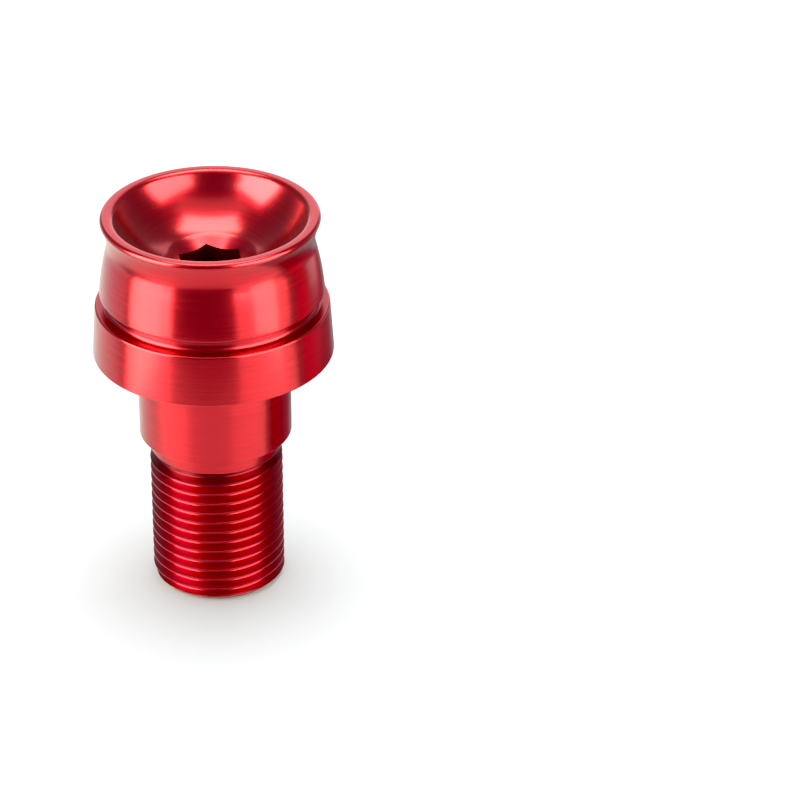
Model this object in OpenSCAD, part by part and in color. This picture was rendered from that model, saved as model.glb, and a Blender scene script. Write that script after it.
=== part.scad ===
// Bar end weight: a solid turned from one bar, which screws into the end of a handlebar.
// It stands on the end of its thread. The origin is the centre of that end face, and +Z runs
// along the axis to the dished face with the hex socket. Lengths are in millimetres.

/* [Thread] */
// Outside diameter of the thread
thread_d = 18; // [14:0.5:20]
// Distance from one crest to the next
thread_pitch = 1.5; // [1:0.25:2]
// Length of the threaded part, from the end face
thread_len = 20; // [10:0.5:30]
// Length of the plain neck between thread and shoulder
neck_len = 2.4; // [1:0.1:6]
// Width and height of the bevel on the end of the thread
end_bevel = 0.9; // [0.2:0.1:1.6]
// Width and height of the bevel between the neck and the thread's last groove
neck_bevel = 0.2; // [0.1:0.05:0.5]

/* [Shoulder] */
// Diameter of the plain shoulder that stands in the mouth of the bar
shoulder_d = 20.6; // [20.2:0.1:26]
// Length of the shoulder
shoulder_len = 12.4; // [4:0.1:20]

/* [Flange] */
// Diameter of the flange at its lower edge, where it meets the grip
flange_d = 32.3; // [30:0.1:36]
// Height of the flange
flange_h = 7.1; // [4:0.1:12]
// Slope of the flange's side, in degrees from upright
flange_slope = 3.6; // [0:0.1:5]
// Radius that breaks the sharp edges of the shoulder and of the flange's underside
edge_round = 0.2; // [0.05:0.05:0.3]

/* [Groove] */
// Height of the groove between flange and bell
groove_h = 1.7; // [1.2:0.1:3]
// How far the groove's floor lies inside the bell's lower edge
groove_depth = 1; // [0.4:0.1:1.5]
// Radius of the fillet at the foot of the groove's floor
groove_fillet = 0.6; // [0.2:0.1:0.8]
// Radius that breaks the groove's two edges, the flange's upper one and the bell's lower one
lip_round = 0.3; // [0.05:0.05:0.35]

/* [Bell] */
// How far the bell's lower edge lies inside the flange's upper edge
bell_step = 0.7; // [0.4:0.1:1.5]
// Radius of the bell's long outward curve
bell_curve = 37.5; // [25:0.5:50]
// Slope of the bell's side just over the groove, in degrees from upright
bell_slope = 5; // [2:0.5:8]
// Slope where the outward curve ends, in degrees from upright
bell_end_slope = 14.5; // [10:0.5:18]
// Radius of the inward curve between the bell's side and its waist
waist_curve = 4; // [2:0.5:8]
// Radius of the inward curve from the waist to the rim
flare_curve = 7; // [5:0.5:12]
// Height from the waist to the rim's top
flare_h = 3.8; // [2:0.1:5]

/* [Rim] */
// Width of the rim, from its outside to the dish
rim_w = 2; // [1:0.05:2.5]
// Radius of the rim's outer edge
rim_outer_round = 0.5; // [0.1:0.05:0.6]
// Radius of the rim's inner edge, where it rolls over into the dish
rim_inner_round = 1; // [0.1:0.05:1.2]

/* [Dish] */
// Depth of the dish, from the rim's top to the countersink
dish_depth = 6; // [4:0.1:7]
// Radius of the dish's hollow curve
dish_curve = 12; // [10:0.5:16]
// Width of the countersink's ring, outside the corners of the socket
countersink_w = 1.3; // [0.5:0.1:2.5]
// Angle of the tool that cuts the countersink, as of a drill's point
countersink_angle = 118; // [90:1:140]

/* [Hex socket] */
// Width across the flats of the socket
hex_flats = 8; // [6:1:10]
// Depth of the flats below the countersink
hex_depth = 8; // [4:0.5:10]
// How much narrower the drilled hole under the socket is than its flats
pilot_under = 0.6; // [0.2:0.1:1]
// Depth of the drilled hole below the flats
pilot_depth = 0.8; // [0.2:0.1:2]
// Angle of the drill's point, in degrees
drill_angle = 118; // [90:1:140]
// Turn of the socket about the axis, in degrees
hex_turn = 41; // [0:1:59]

/* [Hidden] */
anodised_red = [0.62, 0.03, 0.07];
arc_step = 6;   // largest turn in degrees between two points of a drawn arc
overcut = 1;    // how far a cutting tool runs past the face that it starts from
fine = 180;     // facets of a full circle

// Places along the axis, each built on the one below it
shank_top = thread_len + neck_len;
flange_bottom = shank_top + shoulder_len;
flange_top = flange_bottom + flange_h;
bell_bottom = flange_top + groove_h;

// Thread form: a vee of 60 degrees with a flat crest of an eighth of the pitch
crest_flat = thread_pitch / 8;
vee_depth = thread_pitch * sqrt(3) / 2 * 17 / 24;
vee_mouth = thread_pitch - crest_flat;
vee_root = vee_mouth - 2 * vee_depth * tan(30);

// Radii at the upper edge of the flange and the lower edge of the bell
flange_top_r = flange_d / 2 - flange_h * tan(flange_slope);
bell_r = flange_top_r - bell_step;
groove_r = bell_r - groove_depth;

// The bell's outward curve starts over its rounded lower edge, the waist's inward curve takes it
// on to upright, and the flare's inward curve ends where it runs into the rim's rounded edge
bell_start = [bell_r, bell_bottom + lip_round * (1 + sin(bell_slope))];
bell_centre = bell_start - bell_curve * toward(bell_slope);
bell_end = bell_centre + bell_curve * toward(bell_end_slope);
waist_centre = bell_end + waist_curve * toward(bell_end_slope);
waist = waist_centre - [waist_curve, 0];
flare_centre = waist + [flare_curve, 0];
flare_turn = asin((flare_h - rim_outer_round) / (flare_curve + rim_outer_round));
rim_outer_centre = flare_centre - (flare_curve + rim_outer_round) * toward(-flare_turn);
rim_top = waist[1] + flare_h;
rim_r = rim_outer_centre[0] + rim_outer_round;

// Radii of the socket's corners, of the drilled hole and of the countersink's mouth
hex_corner_r = hex_flats / 2 / cos(30);
pilot_r = (hex_flats - pilot_under) / 2;
countersink_r = hex_corner_r + countersink_w;

// The dish's hollow curve starts at the countersink's mouth and runs into the rim's rounded
// inner edge, so its centre lies one radius from the mouth and both radii from that edge's centre
dish_mouth = [countersink_r, rim_top - dish_depth];
rim_inner_centre = [rim_r - rim_w + rim_inner_round, rim_top - rim_inner_round];
dish_span = norm(rim_inner_centre - dish_mouth);
dish_reach = dish_curve + rim_inner_round;
dish_corner = acos((dish_curve ^ 2 + dish_span ^ 2 - dish_reach ^ 2) / (2 * dish_curve * dish_span));
dish_centre = dish_mouth + dish_curve * toward(bearing(rim_inner_centre - dish_mouth) + dish_corner);
dish_start = bearing(dish_mouth - dish_centre);
dish_end = bearing(rim_inner_centre - dish_centre);

// Depths of the socket below the circle where its flats run out into the countersink
countersink_slope = 90 - countersink_angle / 2;
hex_top = dish_mouth[1] - (countersink_r - hex_flats / 2) * tan(countersink_slope);
hex_bottom = hex_top - hex_depth;
pilot_bottom = hex_bottom - pilot_depth;
drill_tip = pilot_r / tan(drill_angle / 2);

// Unit vector at an angle above the radius, and the angle of a vector
function toward(angle) = [cos(angle), sin(angle)];
function bearing(v) = atan2(v[1], v[0]);

// Points on a circle, from one angle to another
function arc(centre, radius, from, to) =
    let (steps = max(1, ceil(abs(to - from) / arc_step)))
    [for (i = [0:steps]) centre + radius * toward(from + (to - from) * i / steps)];

// Half section of the thread and neck, with a vee between each two crests
module shank_section() {
    difference() {
        polygon([[0, 0], [thread_d / 2 - end_bevel, 0], [thread_d / 2, end_bevel],
            [thread_d / 2, shank_top], [0, shank_top]]);
        for (z = [thread_len - thread_pitch / 2 : -thread_pitch : 0])
            translate([thread_d / 2, z]) vee_section();
        translate([thread_d / 2, thread_len]) polygon([[-neck_bevel, -crest_flat], [0, neck_bevel],
            [overcut, neck_bevel], [overcut, -crest_flat]]);
    }
}

// One vee of the thread, about the middle of its root, open past the crests
module vee_section() {
    polygon([[-vee_depth, -vee_root / 2], [0, -vee_mouth / 2], [overcut, -vee_mouth / 2],
        [overcut, vee_mouth / 2], [0, vee_mouth / 2], [-vee_depth, vee_root / 2]]);
}

// Half section from the shoulder up to the rim, still solid inside
module head_section() {
    polygon(concat(
        [[0, shank_top]],
        arc([shoulder_d / 2 - edge_round, shank_top + edge_round], edge_round, -90, 0),
        [[shoulder_d / 2, flange_bottom]],
        arc([flange_d / 2 - edge_round, flange_bottom + edge_round], edge_round, -90, flange_slope),
        arc([flange_top_r - lip_round, flange_top - lip_round], lip_round, flange_slope, 90),
        arc([groove_r + groove_fillet, flange_top + groove_fillet], groove_fillet, 270, 180),
        [[groove_r, bell_bottom]],
        arc(bell_start - lip_round * toward(bell_slope), lip_round, -90, bell_slope),
        arc(bell_centre, bell_curve, bell_slope, bell_end_slope),
        arc(waist_centre, waist_curve, 180 + bell_end_slope, 180),
        arc(flare_centre, flare_curve, 180, 180 - flare_turn),
        arc(rim_outer_centre, rim_outer_round, -flare_turn, 90),
        [[0, rim_top]]));
}

// Half section of what is turned out of the face: the dish, its rounded rim and the countersink
module dish_section() {
    polygon(concat(
        [[0, dish_mouth[1] - countersink_r * tan(countersink_slope)]],
        arc(dish_centre, dish_curve, dish_start, dish_end),
        arc(rim_inner_centre, rim_inner_round, dish_end + 180, 90),
        [[rim_inner_centre[0], rim_top + overcut], [0, rim_top + overcut]]));
}

// The socket and the drilled hole under it, with the mark of the drill's point
module hex_socket() {
    translate([0, 0, hex_bottom]) rotate(hex_turn)
        cylinder(r = hex_corner_r, h = dish_mouth[1] - hex_bottom, $fn = 6);
    translate([0, 0, pilot_bottom]) {
        cylinder(r = pilot_r, h = dish_mouth[1] - pilot_bottom, $fn = fine);
        translate([0, 0, -drill_tip]) cylinder(r1 = 0, r2 = pilot_r, h = drill_tip, $fn = fine);
    }
}

module bar_end_weight() {
    color(anodised_red) difference() {
        rotate_extrude($fn = fine) {
            shank_section();
            head_section();
        }
        rotate_extrude($fn = fine) dish_section();
        hex_socket();
    }
}

bar_end_weight();
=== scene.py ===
# %% [markdown]
# # A bar end weight in red anodised aluminium
# The real part is one solid, turned from a bar on a lathe, threaded, drilled, broached and then
# anodised red. Everything on it except the hex socket is round about one axis, so this lesson
# builds it as one surface: an outline swept about Z, worked out with numpy as whole arrays.
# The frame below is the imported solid. It gives the true size, and the dressed piece stands in
# its place, within a few hundredths of a millimetre of it everywhere but on the thread.
#
# The outline is written in millimetres, as on a drawing. Blender's unit is the metre, and `mm`
# is the number of millimetres in it.

# %% Load the frame
import bmesh
import bpy
import numpy as np
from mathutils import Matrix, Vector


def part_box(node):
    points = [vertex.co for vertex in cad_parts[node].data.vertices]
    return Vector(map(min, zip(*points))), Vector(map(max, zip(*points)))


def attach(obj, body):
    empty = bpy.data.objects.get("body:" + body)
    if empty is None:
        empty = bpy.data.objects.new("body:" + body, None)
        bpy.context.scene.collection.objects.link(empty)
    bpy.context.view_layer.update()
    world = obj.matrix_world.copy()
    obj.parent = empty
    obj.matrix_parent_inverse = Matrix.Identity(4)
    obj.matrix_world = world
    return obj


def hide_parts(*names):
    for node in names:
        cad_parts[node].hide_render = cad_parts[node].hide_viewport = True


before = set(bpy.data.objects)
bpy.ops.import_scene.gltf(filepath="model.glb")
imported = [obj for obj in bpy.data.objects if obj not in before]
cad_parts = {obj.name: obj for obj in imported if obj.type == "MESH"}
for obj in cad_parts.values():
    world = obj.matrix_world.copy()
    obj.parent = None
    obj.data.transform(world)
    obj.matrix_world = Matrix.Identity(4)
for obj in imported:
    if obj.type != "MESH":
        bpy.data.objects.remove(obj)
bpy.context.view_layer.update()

low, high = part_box("bar_end_weight")
mm = 1000
print("frame nodes:", sorted(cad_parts))
print("solid, lowest and highest corner in mm:", list(low * mm), list(high * mm))

# %% [markdown]
# ## The camera
# The photograph looks down on the weight with a long lens, so upright edges stay nearly
# parallel. A camera in Blender points along its own -Z, and a turn about X tips it up from
# straight down. The lens follows from the distance of the picture plane in pixels: a sensor of
# 36 mm spans the 800 pixels of the picture's width.

# %% Camera
picture_px = 800
sensor_mm = 36
focal_px = 3959.6
look_down = 0.52136
camera_place = (0.02498, -0.46386, 0.29305)

camera_data = bpy.data.cameras.new("camera")
camera_data.sensor_width = sensor_mm
camera_data.lens = focal_px / picture_px * sensor_mm
camera = bpy.data.objects.new("camera", camera_data)
camera.location = camera_place
camera.rotation_euler = (np.pi / 2 - look_down, 0, 0)
bpy.context.scene.collection.objects.link(camera)
bpy.context.scene.camera = camera
print("camera lens in mm:", round(camera_data.lens, 1))

# %% [markdown]
# ## The outline, in runs
# A lathe cuts a part as a chain of straight runs and arcs. We write the half section in the
# same way, as rows of (radius, height) in millimetres, from the middle of the end face, up the
# outside, over the rim and down into the socket. Each arc gets rows by its angle, so a small
# edge radius is as smooth as a long curve, and straight runs need a row at each end only.

# %% Helpers for the outline
def toward(angle):
    """The unit vector at an angle in degrees above the radius: (cos, sin)."""
    return np.array([np.cos(np.radians(angle)), np.sin(np.radians(angle))])


def bearing(v):
    """The angle in degrees of a vector above the radius."""
    return np.degrees(np.arctan2(v[1], v[0]))


def arc(centre, radius, start, end, step=9.0):
    """Rows on a circle: centre + radius (cos a, sin a), with a in even steps from start to end."""
    rows = max(2, int(np.ceil(abs(end - start) / step)) + 1)
    a = np.radians(np.linspace(start, end, rows))
    return np.asarray(centre) + radius * np.column_stack((np.cos(a), np.sin(a)))


print("rows on a quarter arc:", len(arc((0, 0), 1, 0, 90)))

# %% [markdown]
# ## The head
# The head's lower part is a flange that meets the grip, with a groove above it. Over the groove
# stands a bell: a long curve that leans in, a tight curve into the waist, and a flare out to
# the rim. Each curve starts where the last one ends and shares its direction there, so the
# light runs over the joints without a break. The middle of each circle is found from that rule.

# %% Outside of the head
edge_round = 0.2
lip_round = 0.3
shank_top = 22.4
shoulder_d = 20.6
flange_bottom = 34.8
flange_h = 7.1
flange_slope = 3.6
flange_r = mm * (high.x - low.x) / 2
flange_top = flange_bottom + flange_h
flange_top_r = flange_r - flange_h * np.tan(np.radians(flange_slope))
groove_h = 1.7
groove_depth = 1
groove_fillet = 0.6
bell_bottom = flange_top + groove_h
bell_step = 0.7
bell_r = flange_top_r - bell_step
groove_r = bell_r - groove_depth
bell_slope = 5
bell_end_slope = 14.5
bell_curve = 37.5
waist_curve = 4
flare_curve = 7
flare_h = 3.8
rim_outer_round = 0.5
long_curve_step = 0.7
tight_curve_step = 1.5

bell_start = np.array([bell_r, bell_bottom + lip_round * (1 + np.sin(np.radians(bell_slope)))])
bell_centre = bell_start - bell_curve * toward(bell_slope)
waist_centre = bell_centre + (bell_curve + waist_curve) * toward(bell_end_slope)
waist = waist_centre - [waist_curve, 0]
flare_centre = waist + [flare_curve, 0]
flare_turn = np.degrees(np.arcsin((flare_h - rim_outer_round) / (flare_curve + rim_outer_round)))
rim_outer_centre = flare_centre - (flare_curve + rim_outer_round) * toward(-flare_turn)
rim_top = waist[1] + flare_h
rim_r = rim_outer_centre[0] + rim_outer_round

shoulder_rows = [
    arc((shoulder_d / 2 - edge_round, shank_top + edge_round), edge_round, -90, 0),
    [(shoulder_d / 2, flange_bottom)],
]
flange_rows = [
    arc((flange_r - edge_round, flange_bottom + edge_round), edge_round, -90, flange_slope),
    arc((flange_top_r - lip_round, flange_top - lip_round), lip_round, flange_slope, 90),
]
groove_rows = [
    arc((groove_r + groove_fillet, flange_top + groove_fillet), groove_fillet, 270, 180),
    [(groove_r, bell_bottom)],
]
bell_rows = [
    arc(bell_start - lip_round * toward(bell_slope), lip_round, -90, bell_slope),
    arc(bell_centre, bell_curve, bell_slope, bell_end_slope, long_curve_step)[1:],
    arc(waist_centre, waist_curve, 180 + bell_end_slope, 180, tight_curve_step)[1:],
    arc(flare_centre, flare_curve, 180, 180 - flare_turn, tight_curve_step)[1:],
    arc(rim_outer_centre, rim_outer_round, -flare_turn, 90)[1:],
]
below_groove = np.vstack(shoulder_rows + flange_rows)
print("rim at", round(rim_top, 3), "mm, the solid's top at", round(mm * high.z, 3), "mm")

# %% [markdown]
# ## The dish and the socket
# The face is turned to a hollow dish that ends in a countersink, and a hex key's socket goes
# down the middle. The dish is one arc: it starts at the countersink's mouth and runs into the
# rounded inner edge of the rim. The triangle between the mouth and the two circle centres has
# three known sides, so the law of cosines gives the dish's centre.
#
# The socket isn't round, so its radius depends on the direction. It is half the width across
# the flats, divided by the cosine of the turn from the middle of the nearest flat. Under the
# hexagon the hole that was drilled first goes on a little, down to the mark of the drill.

# %% Inside of the head
rim_w = 2
rim_inner_round = 1
dish_depth = 6
dish_curve = 12
hex_flats = 8
hex_depth = 8
hex_turn = 41
pilot_under = 0.6
pilot_depth = 0.8
countersink_w = 1.3
tool_angle = 118

hex_corner_r = hex_flats / 2 / np.cos(np.radians(30))
pilot_r = (hex_flats - pilot_under) / 2
countersink_r = hex_corner_r + countersink_w
cone_slope = np.tan(np.radians(90 - tool_angle / 2))
dish_mouth = np.array([countersink_r, rim_top - dish_depth])
rim_inner_centre = np.array([rim_r - rim_w + rim_inner_round, rim_top - rim_inner_round])
span = np.hypot(*(rim_inner_centre - dish_mouth))
reach = dish_curve + rim_inner_round
dish_corner = np.degrees(np.arccos((dish_curve**2 + span**2 - reach**2) / (2 * dish_curve * span)))
dish_centre = dish_mouth + dish_curve * toward(bearing(rim_inner_centre - dish_mouth) + dish_corner)
dish_start = bearing(dish_mouth - dish_centre) % 360
dish_end = bearing(rim_inner_centre - dish_centre) % 360
hex_bottom = dish_mouth[1] - (countersink_r - hex_flats / 2) * cone_slope - hex_depth
pilot_bottom = hex_bottom - pilot_depth
drill_tip = pilot_bottom - pilot_r * cone_slope

bell_rows.append(arc(rim_inner_centre, rim_inner_round, 90, dish_end - 180))
dish_rows = arc(dish_centre, dish_curve, dish_end, dish_start, tight_curve_step)[1:]
print("dish from", np.round(dish_rows[0], 2), "to", np.round(dish_rows[-1], 2))
print("the dish's arc turns from", round(dish_end, 1), "to", round(dish_start, 1), "degrees")

# %% [markdown]
# ## The thread
# An M18 x 1.5 thread is a vee of 60 degrees that climbs one pitch a turn. The half section
# repeats with the height: a narrow flat crest, a straight flank down, a round root and a flank
# up again. At a direction t the whole section is shifted up by pitch * t / 360, and that makes
# the helix.
#
# The rows of the grid follow the helix too, so that crests and roots lie along edges of the
# mesh and stay crisp. Below, `phase` lists the places in one pitch where a row runs. The start
# of the thread is cut by a bevel and its end by a relief groove. Both are round, so the radius
# at each point is the smallest of the three, and each row's height is held between two limits.
# The sizes are the standard's: the crest's flat is an eighth of the pitch wide, and the root
# lies 17/24 of the full vee's height below it.
#
# The solid has plain rings in place of the helix. Here the last groove stands 0.3 mm higher than its
# last ring, because the helix runs out into it. From `run_out` up, the turns lie so close under the
# shoulder that little light gets in, and they get the shaded finish, whose much darker red is
# painted shade. The relief groove gets it too.

# %% Thread section
thread_r = 9.0
pitch = 1.5
end_bevel = 0.9
thread_len = 20.3
neck_bevel = 0.2
front_crest = 0.625
run_out = 16.5
crest_half = pitch / 16
half_vee = np.radians(30)
vee_slope = np.tan(half_vee)
vee_point = (pitch / 2 - crest_half) / vee_slope
root_depth = pitch * np.sqrt(3) / 2 * 17 / 24
root_round = vee_point - root_depth
relief_z = thread_len - pitch / 2


def thread_radius(height):
    """Radius at a height over a crest: the crest's flat, or the flank's line, but no deeper than
    the root's circle, whose centre lies two root radii outside the point of the vee."""
    s = np.abs((height + pitch / 2) % pitch - pitch / 2)
    from_root = pitch / 2 - s
    flank = np.clip((s - crest_half) / vee_slope, 0, None)
    inside_arc = np.clip(root_round**2 - from_root**2, 0, None)
    root = vee_point - 2 * root_round + np.sqrt(inside_arc)
    in_root = from_root < root_round * np.cos(half_vee)
    return thread_r - np.where(in_root, root, flank)


def shank_radius(z, start):
    """The smallest of the thread at z over its start, the end's bevel and the relief groove."""
    bevel = thread_r - end_bevel + z
    from_relief = z - relief_z
    in_relief = np.abs(from_relief) < pitch / 2
    relief = np.where(in_relief, thread_radius(from_relief + pitch / 2), thread_r)
    return np.minimum(np.minimum(thread_radius(z - start), bevel), relief)


root_turns = np.radians([-60, -40, -20, 0, 20, 40, 60])
flank_rows = 3
root_phase = pitch / 2 + root_round * np.sin(root_turns)
flank_down = np.linspace(crest_half, root_phase[0], flank_rows + 1)[:-1]
flank_up = pitch - flank_down[::-1]
phase = np.concatenate([flank_down, root_phase, flank_up])
print("rows in one pitch:", len(phase), " root radius", round(root_round, 3), "mm")

# %% [markdown]
# ## The grid
# Columns are directions round the axis. There are 240, offset by the socket's turn, so that
# each corner of the hexagon has a column of its own. Rows are the outline. Both are whole
# arrays: `radius` and `height` have one entry for each row and column.
#
# At the last column the helix has climbed one pitch, so a row of the thread there meets the
# row one pitch higher in the first column. The array `beyond` holds that neighbour for each
# row. Everywhere else it is the row itself.

# %% Rows and columns
columns = 240
angle = np.radians(hex_turn) + np.linspace(0, 2 * np.pi, columns, endpoint=False)
climb = front_crest + pitch * (angle + np.pi / 2) / (2 * np.pi)

turns_below = 3
turns_above = int(np.ceil((relief_z - climb[0]) / pitch))
turns = np.arange(-turns_below, turns_above + 1)
starts = (turns[:, None] * pitch + phase[None, :]).ravel()
thread_z = np.clip(climb[None, :] + starts[:, None], 0, relief_z)
thread_rows = shank_radius(thread_z, climb[None, :])
print("rows of the thread:", len(starts), "in", len(turns), "turns")


def all_round(rows):
    """Each (radius, height) row, repeated with the same values in every column."""
    rows = np.atleast_2d(rows)
    return np.repeat(rows[:, :1], columns, 1), np.repeat(rows[:, 1:], columns, 1)


# %% [markdown]
# ## The bands of the outline
# The outline is cut in bands, and each band names its finish. Between the thread and the
# shoulder come the relief groove and a plain neck. The countersink is a cone that starts as a
# circle and ends on the hexagon: each of its rows lies a share of the way between the two, and
# its height follows the cone.

# %% Bands of the outline
relief_rise = root_round * np.sin(np.radians([15, 30, 45, 60]))
relief_rows = np.column_stack([thread_radius(pitch / 2 + relief_rise), relief_z + relief_rise])
neck_rows = [
    (thread_r - neck_bevel, relief_z + pitch / 2 - crest_half - neck_bevel * vee_slope),
    (thread_r, thread_len + neck_bevel),
    (thread_r, shank_top),
]
socket = hex_flats / 2 / np.cos((angle - angle[0]) % (np.pi / 3) - np.pi / 6)
mouth_rows = 4
mouth_share = np.linspace(1, 0, mouth_rows + 1)[1:, None]
mouth_r = socket + (countersink_r - socket) * mouth_share
mouth_z = dish_mouth[1] - (countersink_r - mouth_r) * cone_slope
socket_r = np.vstack([socket, np.full((2, columns), pilot_r), np.zeros((1, columns))])
socket_z = np.repeat([[hex_bottom], [hex_bottom], [pilot_bottom], [drill_tip]], columns, 1)

face_edge = 0.1
finish_names = ["turned", "threaded", "socket", "faced", "grooved", "dished", "shaded"]
bands = [
    ("face", "faced", all_round([(0, 0), (thread_r - end_bevel - face_edge, 0)])),
    ("thread", "threaded", (thread_rows, thread_z)),
    # The relief groove's shaded finish is painted shade.
    ("relief", "shaded", all_round(relief_rows)),
    ("neck", "turned", all_round(neck_rows)),
    ("shoulder and flange", "turned", all_round(below_groove)),
    ("groove", "grooved", all_round(np.vstack(groove_rows))),
    ("bell and rim", "turned", all_round(np.vstack(bell_rows))),
    ("dish", "dished", all_round(dish_rows)),
    ("countersink", "grooved", (mouth_r, mouth_z)),
    ("socket", "socket", (socket_r, socket_z)),
]
radius = np.vstack([r for _, _, (r, _) in bands])
height = np.vstack([z for _, _, (_, z) in bands])
rows_in_band = [len(r) for _, _, (r, _) in bands]
band_of_row = np.repeat(np.arange(len(bands)), rows_in_band)
thread_band = [name for name, _, _ in bands].index("thread")
for (name, finish, _), rows in zip(bands, rows_in_band):
    print(name, "rows:", rows, " finish:", finish)

# %% [markdown]
# ## From grid to mesh
# Four neighbours in the grid make a face, taken in the order that turns its normal outwards.
# The numbers of all the corners are worked out at once, as a row and a column for each.

# %% Corners of the faces
row = np.arange(len(radius))
beyond = row.copy()
thread_index = np.flatnonzero(band_of_row == thread_band)
beyond[thread_index] = np.minimum(thread_index + len(phase), thread_index[-1])

points = np.stack([radius * np.cos(angle), radius * np.sin(angle), height], 2) / mm
step = np.hypot(np.diff(radius, axis=0), np.diff(height, axis=0))
along = np.vstack([np.zeros((1, columns)), np.cumsum(step, 0)])
outline_mm = along.max()

col = np.arange(columns)
right = (col + 1) % columns
on_seam = right == 0
lower = row[:-1, None]
upper = lower + 1
lower_right = np.where(on_seam[None, :], beyond[:-1, None], lower)
upper_right = np.where(on_seam[None, :], beyond[1:, None], upper)
corner_row = np.stack([lower + 0 * col, lower_right, upper_right, upper + 0 * col], 2)
corner_col = np.stack([col, right, right, col], 1)[None, :, :] + 0 * corner_row
corner = (corner_row * columns + corner_col).reshape(-1, 4)
print("outline", round(outline_mm, 1), "mm,", len(corner), "faces before merging")

# %% [markdown]
# ## The UV map and the finishes
# U is the distance along the outline, and V goes once round. The finish needs it, because the
# lathe's lines run round the part and U tells them apart. Each face gets the number of its band's
# finish as well, and the turns from `run_out` up get the shaded one, whose colour is painted shade.

# %% Build the mesh
uv_u = along[corner_row, corner_col].reshape(-1) / outline_mm
uv_v = (np.array([0, 1, 1, 0]) + col[:, None])[None, :, :] / columns + 0 * corner_row
uv = np.column_stack([uv_u, uv_v.reshape(-1)])
finish_of_band = np.array([finish_names.index(finish) for _, finish, _ in bands])
finish_of_row = finish_of_band[band_of_row]
# Painted shade on the turns from run_out up, close under the shoulder.
finish_of_row[thread_index[starts > run_out]] = finish_names.index("shaded")

mesh = bpy.data.meshes.new("bar_end_weight_turned")
mesh.from_pydata(points.reshape(-1, 3), [], corner.tolist())
mesh.uv_layers.new(name="turning")
mesh.uv_layers["turning"].uv.foreach_set("vector", uv.ravel())
mesh.polygons.foreach_set("material_index", np.repeat(finish_of_row[1:], columns))
print("corners with a place in the UV map:", len(uv))

# %% [markdown]
# ## Closing the surface
# Where the thread's rows are held at a limit they lie on one another. Points that share a place
# are merged, which leaves triangles there and closes the surface at both poles. Then the faces
# are shaded smooth, but edges that turn by more than 35 degrees stay crisp: the thread's
# crests, the socket and the steps that the tool left sharp.

# %% Merge and shade
weld_within = 3e-7
crisp_from = 35
closing = bmesh.new()
closing.from_mesh(mesh)
bmesh.ops.remove_doubles(closing, verts=closing.verts, dist=weld_within)
bmesh.ops.dissolve_degenerate(closing, edges=closing.edges, dist=weld_within)
open_edges = sum(not e.is_manifold for e in closing.edges)
closing.to_mesh(mesh)
closing.free()
mesh.polygons.foreach_set("use_smooth", np.ones(len(mesh.polygons), bool))
mesh.set_sharp_from_angle(angle=np.radians(crisp_from))

weight = bpy.data.objects.new("bar_end_weight_turned", mesh)
bpy.context.scene.collection.objects.link(weight)
even = weight.modifiers.new("even_shading", "WEIGHTED_NORMAL")
even.keep_sharp = True
print("merged:", len(mesh.polygons), "faces,", open_edges, "open edges")

# %% [markdown]
# ## The lathe's lines
# A turning tool leaves fine rings. They show as faint streaks at most, but they spread a
# reflection along the axis and leave it sharp round the part. Two things make this in a
# shader: an anisotropic gloss, whose tangent comes from the UV map, and a very fine pattern
# that changes along U. The pattern is a node group, so each finish can use it with its own
# spacing. Its noise reads the place along the outline and the direction round the axis, and
# it has no seam because the direction goes in as a cosine and a sine.

# %% Node group for the lines
line_contrast = (0.3, 0.7)
drift_share = 0.13


def link(tree, start, end):
    """Joins an output to an input."""
    tree.links.new(start, end)


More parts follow.
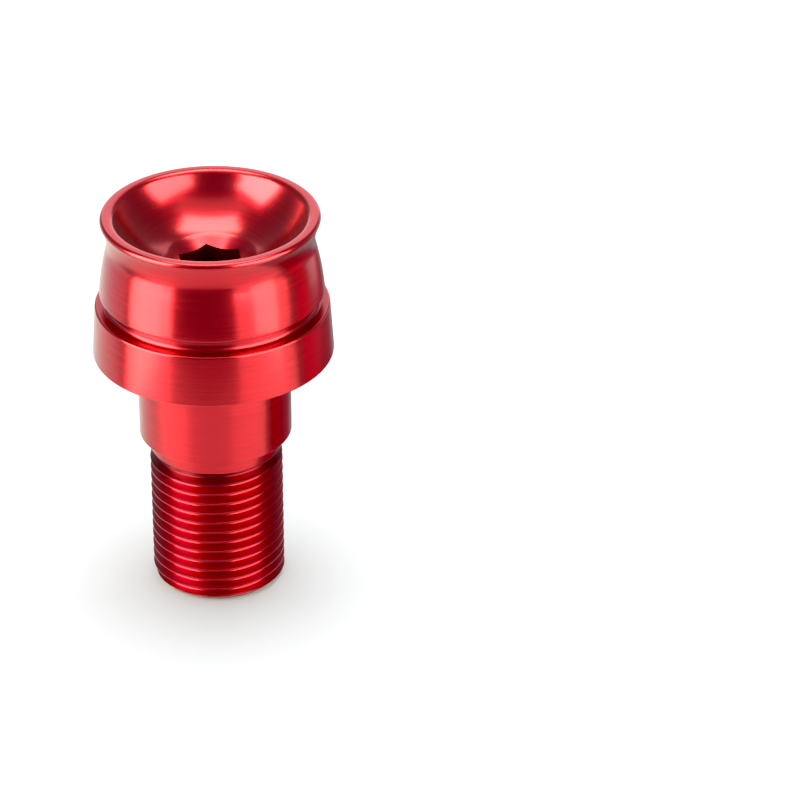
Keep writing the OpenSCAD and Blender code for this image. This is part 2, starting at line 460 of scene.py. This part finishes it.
def lathe_lines():
    """Lines = noise(U * outline / spacing, cos t, sin t), drawn out round the part, and
    Drift = the same noise at a small share of the scale, for slow changes along the outline."""
    group = bpy.data.node_groups.new("lathe_lines", "ShaderNodeTree")
    group.interface.new_socket("Spacing", in_out="INPUT", socket_type="NodeSocketFloat")
    group.interface.new_socket("Lines", in_out="OUTPUT", socket_type="NodeSocketFloat")
    group.interface.new_socket("Drift", in_out="OUTPUT", socket_type="NodeSocketFloat")
    nodes = group.nodes
    inputs = nodes.new("NodeGroupInput")
    outputs = nodes.new("NodeGroupOutput")

    uv = nodes.new("ShaderNodeUVMap")
    uv.uv_map = "turning"
    uv_parts = nodes.new("ShaderNodeSeparateXYZ")
    link(group, uv.outputs["UV"], uv_parts.inputs[0])
    length = nodes.new("ShaderNodeMath")
    length.operation = "MULTIPLY"
    length.inputs[1].default_value = outline_mm
    link(group, uv_parts.outputs["X"], length.inputs[0])
    count = nodes.new("ShaderNodeMath")
    count.operation = "DIVIDE"
    link(group, length.outputs[0], count.inputs[0])
    link(group, inputs.outputs["Spacing"], count.inputs[1])

    place = nodes.new("ShaderNodeTexCoord")
    flatten = nodes.new("ShaderNodeVectorMath")
    flatten.operation = "MULTIPLY"
    flatten.inputs[1].default_value = (1, 1, 0)
    link(group, place.outputs["Object"], flatten.inputs[0])
    direction = nodes.new("ShaderNodeVectorMath")
    direction.operation = "NORMALIZE"
    link(group, flatten.outputs[0], direction.inputs[0])
    round_parts = nodes.new("ShaderNodeSeparateXYZ")
    link(group, direction.outputs[0], round_parts.inputs[0])

    spot = nodes.new("ShaderNodeCombineXYZ")
    link(group, count.outputs[0], spot.inputs["X"])
    link(group, round_parts.outputs["X"], spot.inputs["Y"])
    link(group, round_parts.outputs["Y"], spot.inputs["Z"])
    fine_noise = nodes.new("ShaderNodeTexNoise")
    fine_noise.inputs["Scale"].default_value = 1
    fine_noise.inputs["Detail"].default_value = 2
    link(group, spot.outputs[0], fine_noise.inputs["Vector"])
    stretch = nodes.new("ShaderNodeMapRange")
    stretch.inputs["From Min"].default_value = line_contrast[0]
    stretch.inputs["From Max"].default_value = line_contrast[1]
    link(group, fine_noise.outputs["Fac"], stretch.inputs["Value"])
    link(group, stretch.outputs[0], outputs.inputs["Lines"])

    slow = nodes.new("ShaderNodeVectorMath")
    slow.operation = "SCALE"
    slow.inputs["Scale"].default_value = drift_share
    link(group, spot.outputs[0], slow.inputs[0])
    slow_noise = nodes.new("ShaderNodeTexNoise")
    slow_noise.inputs["Scale"].default_value = 1
    slow_noise.inputs["Detail"].default_value = 1
    link(group, slow.outputs[0], slow_noise.inputs["Vector"])
    link(group, slow_noise.outputs["Fac"], outputs.inputs["Drift"])
    return group


lines = lathe_lines()
print("node group with", len(lines.nodes), "nodes")

# %% [markdown]
# ## Red anodised aluminium
# Anodising grows a clear, hard skin on the metal, and a dye colours it. Light goes through the
# dye, meets the metal and comes back red, and a little is thrown back white by the skin's own
# surface. The shader does the same: a metal with a deep red colour, under a clear coat.
#
# A red part throws red light on the paper under it, but the shadow in the photograph is neutral.
# The paper finds the metal by diffuse rays, and the Light Path node can tell these. For them
# alone the colour is `thrown_on_paper`, which is almost grey.

# %% Red metal under a clear skin
dye = (0.64, 0.01, 0.028)
thrown_on_paper = (0.42, 0.28, 0.26, 1)
line_tint = 0.12
roughness_drift = 0.05
skin_ior = 1.45


def anodised(name, roughness, anisotropy, spacing, relief, coat_roughness, painted_shade=(1, 1, 1), coat=1):
    """Colour = dye * painted shade * (1 - tint to 1 + tint, by the lines), as a metal under a coat.
    The roughness drifts slowly and a very low bump follows the lines. The painted shade is the share
    of the colour that is kept where a hollow gets less light, 1 on an open face. Spacing is in
    millimetres, relief in metres."""
    material = bpy.data.materials.new(name)
    material.use_nodes = True
    tree = material.node_tree
    shader = tree.nodes["Principled BSDF"]
    shader.inputs["Metallic"].default_value = 1
    shader.inputs["Anisotropic"].default_value = anisotropy
    shader.inputs["Coat Weight"].default_value = coat
    shader.inputs["Coat Roughness"].default_value = coat_roughness
    shader.inputs["Coat IOR"].default_value = skin_ior

    tangent = tree.nodes.new("ShaderNodeTangent")
    tangent.direction_type = "UV_MAP"
    tangent.uv_map = "turning"
    link(tree, tangent.outputs[0], shader.inputs["Tangent"])

    pattern = tree.nodes.new("ShaderNodeGroup")
    pattern.node_tree = lines
    pattern.inputs["Spacing"].default_value = spacing
    rough = tree.nodes.new("ShaderNodeMapRange")
    rough.inputs["To Min"].default_value = roughness - roughness_drift
    rough.inputs["To Max"].default_value = roughness + roughness_drift
    link(tree, pattern.outputs["Drift"], rough.inputs["Value"])
    link(tree, rough.outputs[0], shader.inputs["Roughness"])

    tint = tree.nodes.new("ShaderNodeMix")
    tint.data_type = "RGBA"
    # Painted shade: the dye is darkened by the finish's shade values.
    colour = np.multiply(painted_shade, dye)
    tint.inputs["A"].default_value = [*((1 - line_tint) * colour), 1]
    tint.inputs["B"].default_value = [*((1 + line_tint) * colour), 1]
    link(tree, pattern.outputs["Lines"], tint.inputs["Factor"])

    way = tree.nodes.new("ShaderNodeLightPath")
    thrown = tree.nodes.new("ShaderNodeMix")
    thrown.data_type = "RGBA"
    thrown.inputs["B"].default_value = thrown_on_paper
    link(tree, way.outputs["Is Diffuse Ray"], thrown.inputs["Factor"])
    link(tree, tint.outputs["Result"], thrown.inputs["A"])
    link(tree, thrown.outputs["Result"], shader.inputs["Base Color"])

    bump = tree.nodes.new("ShaderNodeBump")
    bump.inputs["Strength"].default_value = 1
    bump.inputs["Distance"].default_value = relief
    link(tree, pattern.outputs["Lines"], bump.inputs["Height"])
    link(tree, bump.outputs[0], shader.inputs["Normal"])
    return material


print("dye:", dye, " thrown on the paper:", thrown_on_paper[:3])

# %% [markdown]
# ## A finish for each tool, with painted shade in the hollows
# The whole part has one dye, but each face was cut by another tool, so each gets its own roughness
# and spacing. In the thread, the socket, the groove, the countersink, the dish and the run-out under
# the shoulder, the colour is darkened as well: painted shade, for the shade that falls in these
# hollows. It is given for red, green and blue, and in the thread it lifts the blue a little.

# %% Finishes
# The shade entries are painted shade: every finish but the turned and faced ones gets a darker red.
finishes = {
    "turned": dict(roughness=0.23, anisotropy=0.5, spacing=0.25, relief=2.5e-6, coat_roughness=0.18),
    "threaded": dict(roughness=0.33, anisotropy=0.5, spacing=0.3, relief=1e-7, coat_roughness=0.16,
                     painted_shade=(0.66, 0.95, 1.15), coat=0.8),
    "socket": dict(roughness=0.4, anisotropy=0.3, spacing=0.2, relief=1e-6, coat_roughness=0.2,
                   painted_shade=(0.35, 0.35, 0.35), coat=0.3),
    "faced": dict(roughness=0.3, anisotropy=0.85, spacing=0.12, relief=1e-6, coat_roughness=0.15),
    "grooved": dict(roughness=0.3, anisotropy=0.5, spacing=0.3, relief=1e-7, coat_roughness=0.2,
                    painted_shade=(0.66, 0.75, 1), coat=0.9),
    "dished": dict(roughness=0.24, anisotropy=0.4, spacing=0.14, relief=1.2e-6, coat_roughness=0.18,
                   painted_shade=(0.78, 0.9, 1)),
    "shaded": dict(roughness=0.4, anisotropy=0.5, spacing=0.3, relief=1e-7, coat_roughness=0.3,
                   painted_shade=(0.26, 0.3, 0.5), coat=0.5),
}
for finish in finish_names:
    weight.data.materials.append(anodised("red_" + finish, **finishes[finish]))
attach(weight, "root")
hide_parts("bar_end_weight")
print("finishes:", [m.name for m in weight.data.materials])

# %% [markdown]
# ## The floor
# The weight stands on plain white paper, and its shadow is soft and hugs the thread. The metal
# doesn't mirror this paper, because the next step gives it something else to mirror.

# %% Floor
def sheet_of(name, corners, z, material):
    """A flat piece of floor inside the corners (x, y) at the height z, in metres."""
    data = bpy.data.meshes.new(name)
    data.from_pydata([(x, y, z) for x, y in corners], [], [tuple(range(len(corners)))])
    data.materials.append(material)
    sheet = bpy.data.objects.new(name, data)
    bpy.context.scene.collection.objects.link(sheet)
    return sheet


def plain(name, colour, roughness, gloss):
    """A single dull or satin colour, for what isn't part of the object."""
    material = bpy.data.materials.new(name)
    material.use_nodes = True
    shader = material.node_tree.nodes["Principled BSDF"]
    shader.inputs["Base Color"].default_value = colour
    shader.inputs["Roughness"].default_value = roughness
    shader.inputs["Specular IOR Level"].default_value = gloss
    return material


paper = plain("white_paper", (0.775, 0.8, 0.805, 1), 1, 0)
satin = plain("satin_table", (0.4, 0.42, 0.48, 1), 0.4, 0.3)

paper_half = 3
paper_corners = [(x * paper_half, y * paper_half) for x, y in ((-1, -1), (1, -1), (1, 1), (-1, 1))]
floor = sheet_of("floor", paper_corners, 0, paper)
floor.visible_glossy = False
floor.visible_shadow = False
print("floor:", floor.dimensions[:2])

# %% [markdown]
# ## What the metal mirrors
# Metal takes its look from what it mirrors, and a photographer sets that with care. The metal
# mirrors a small table up to its edge, and past the edge it mirrors the light boxes and the dark
# between them. So a satin sheet of the table's outline lies on the paper, and only mirrored rays
# see it.
#
# Two dim red cards on the right are mirrored too, the lower one dimmer. They keep the edge of
# the metal on that side a deep red, where it would turn grey without them. They aren't lamps,
# so they are left out of the sampling of lights.

# %% What only the metal mirrors
just_over = 0.00005
table_left, table_right, table_front, table_back = -0.085, 0.1, -0.103, 0.4
notch_x, notch_y = 0.015, -0.012
table_outline = [
    (table_left, table_front), (table_right, table_front), (table_right, notch_y),
    (notch_x, notch_y), (notch_x, table_back), (table_left, table_back),
]
mirrored = sheet_of("mirrored_sheet", table_outline, just_over, satin)
other_rays = ("camera", "diffuse", "transmission", "volume_scatter", "shadow")
for kind in other_rays:
    setattr(mirrored, "visible_" + kind, False)

card_x = 0.2
card_near, card_middle, card_far = 0.012, 0.1, 0.5
card_top, card_shoulder, card_fold, card_foot = 0.02, -0.05, -0.072, -0.2
card_red = (1, 0.22, 0.32, 1)
upper_outline = [
    (card_near, card_top), (card_middle, card_top), (card_middle, card_shoulder),
    (card_far, card_shoulder), (card_far, card_fold), (card_near, card_fold),
]
lower_outline = [
    (card_near, card_fold), (card_far, card_fold), (card_far, card_foot), (card_near, card_foot),
]


def red_card(name, outline, strength):
    """An upright card at card_x with the corners (y, z), glowing dimly and mirrored alone."""
    glow = plain(name, (0, 0, 0, 1), 1, 0)
    shader = glow.node_tree.nodes["Principled BSDF"]
    shader.inputs["Emission Color"].default_value = card_red
    shader.inputs["Emission Strength"].default_value = strength
    glow.cycles.emission_sampling = "NONE"
    data = bpy.data.meshes.new(name)
    data.from_pydata([(card_x, y, z) for y, z in outline], [], [tuple(range(len(outline)))])
    data.materials.append(glow)
    card = bpy.data.objects.new(name, data)
    bpy.context.scene.collection.objects.link(card)
    for kind in other_rays:
        setattr(card, "visible_" + kind, False)


red_card("upper_card", upper_outline, 0.72)
red_card("lower_card", lower_outline, 0.32)
print("mirrored sheet:", mirrored.dimensions[:2])

# %% [markdown]
# ## The light
# Polished metal shows its surroundings, so the light is placed by what the metal should
# mirror. Boxes that suit the metal would burn out the paper and give it hard shadows. Light
# linking parts the two: some lights reach the weight and what it mirrors, and the others reach
# the paper alone.
#
# An area light of P watts and area A has the radiance P / 4A. Each light is given by its
# radiance, so that its brightness in the metal stays when its size changes.

# %% A light of known radiance
eye_level = 0.045
white = (1, 1, 1)
lit_by_boxes = bpy.data.collections.new("lit_by_boxes")
lit_by_boxes.objects.link(weight)
lit_by_boxes.objects.link(mirrored)
lit_from_above = bpy.data.collections.new("lit_from_above")
lit_from_above.objects.link(floor)


def area_light(name, width, height, radiance, colour, place, turn, receivers):
    """A rectangle of light that lights its receivers alone. Watts = 4 * radiance * area."""
    data = bpy.data.lights.new(name, "AREA")
    data.shape = "RECTANGLE"
    data.size, data.size_y = width, height
    data.energy = 4 * radiance * data.size * data.size_y
    data.color = colour
    light = bpy.data.objects.new(name, data)
    light.location = place
    light.rotation_euler = turn
    light.visible_camera = False
    light.light_linking.receiver_collection = receivers
    bpy.context.scene.collection.objects.link(light)


# %% [markdown]
# ## The boxes
# A soft box stands on each side, with a dark gap between them where the camera is. That gap is
# the dark stripe down the front of the bell. Each box is weaker below the level of the head,
# with one brighter spot there, and weak walls stand behind the weight for its far sides.

# %% Boxes round the weight
def upright_light(name, azimuths, elevations, distance, radiance, colour=white):
    """An upright light that fills the given angles, seen from the head of the weight. Azimuth is
    in degrees to the right of the camera, and elevation is above the level. The width is
    2 distance tan(half the azimuths' spread), and foot and top are distance tan(elevation)."""
    middle, half = np.radians(np.mean(azimuths)), np.radians(np.ptp(azimuths) / 2)
    foot, top = distance * np.tan(np.radians(elevations))
    place = (distance * np.sin(middle), -distance * np.cos(middle), eye_level + (foot + top) / 2)
    area_light(name, 2 * distance * np.tan(half), top - foot, radiance, colour, place,
               (np.pi / 2, 0, middle), lit_by_boxes)


warm = (1, 0.95, 0.69)
upright_light("left_box", (-88, -38.5), (0, 48), 0.6, 7.6, warm)
upright_light("left_foot", (-86, -38.5), (-26, 0), 0.6, 3.1, warm)
upright_light("left_spot", (-76, -50), (-26, 0), 0.58, 1.0, warm)
upright_light("right_box", (26, 85), (0, 48), 0.6, 4.9, warm)
upright_light("right_foot", (26, 85), (-26, 0), 0.6, 0.9, warm)
upright_light("right_spot", (44, 70), (-26, 0), 0.58, 2.2, warm)
upright_light("left_wall", (-178, -94), (-30, 0), 0.8, 0.4)
upright_light("right_wall", (120, 178), (-20, 0), 0.8, 0.35)
upright_light("back_wall", (155, 205), (0, 44), 0.9, 0.64)

# %% [markdown]
# ## The lights overhead
# A large soft light hangs over and behind the weight: the rim, the dish and the countersink
# mirror it. Two level skies light the paper, a wide weak one for the white all round and a small
# strong one for the shadow.

# %% Lights overhead
def overhead_light(name, sides, fronts, height, radiance, colour, receivers):
    """A level light that fills the given slopes to the side and to the back, seen from the head
    of the weight: a slope is the distance out over the distance up, so a size is its height
    times the slopes' spread."""
    place = (height * np.mean(sides), height * np.mean(fronts), eye_level + height)
    area_light(name, height * np.ptp(sides), height * np.ptp(fronts), radiance, colour, place,
               (0, 0, 0), receivers)


overhead_light("top_box", (-0.37, 0.37), (0.02, 0.5), 0.7, 6, warm, lit_by_boxes)
overhead_light("top_edge", (-0.6, 0.6), (-0.45, 0.02), 0.7, 0.5, warm, lit_by_boxes)
overhead_light("wide_sky", (-2.5, 2.5), (-2.5, 2.5), 0.6, 0.66, white, lit_from_above)
overhead_light("soft_sky", (-0.5, 0.5), (-0.25, 0.75), 0.6, 2.46, white, lit_from_above)

# %% [markdown]
# ## The world and the view
# The camera sees plain white past the paper, and the metal gets a weak grey from all round. The
# Standard view keeps the colours as they are worked out. Its curve starts at a black level just
# over nought, which deepens the darkest reds as a camera does.

# %% World and view
metal_grey = 0.3
black = 0.014
world = bpy.data.worlds.new("studio")
world.use_nodes = True
bpy.context.scene.world = world
sky = world.node_tree.nodes["Background"]
sky.inputs["Color"].default_value = (1, 1, 1, 1)
sky.inputs["Strength"].default_value = metal_grey
backdrop = world.node_tree.nodes.new("ShaderNodeBackground")
backdrop.inputs["Strength"].default_value = 1
seen = world.node_tree.nodes.new("ShaderNodeLightPath")
choose = world.node_tree.nodes.new("ShaderNodeMixShader")
link(world.node_tree, seen.outputs["Is Camera Ray"], choose.inputs["Fac"])
link(world.node_tree, sky.outputs[0], choose.inputs[1])
link(world.node_tree, backdrop.outputs[0], choose.inputs[2])
link(world.node_tree, choose.outputs[0], world.node_tree.nodes["World Output"].inputs["Surface"])
view = bpy.context.scene.view_settings
view.view_transform = "Standard"
view.use_curve_mapping = True
view.curve_mapping.black_level = (black, black, black)
view.curve_mapping.update()
print("view:", view.view_transform, " black level:", black)
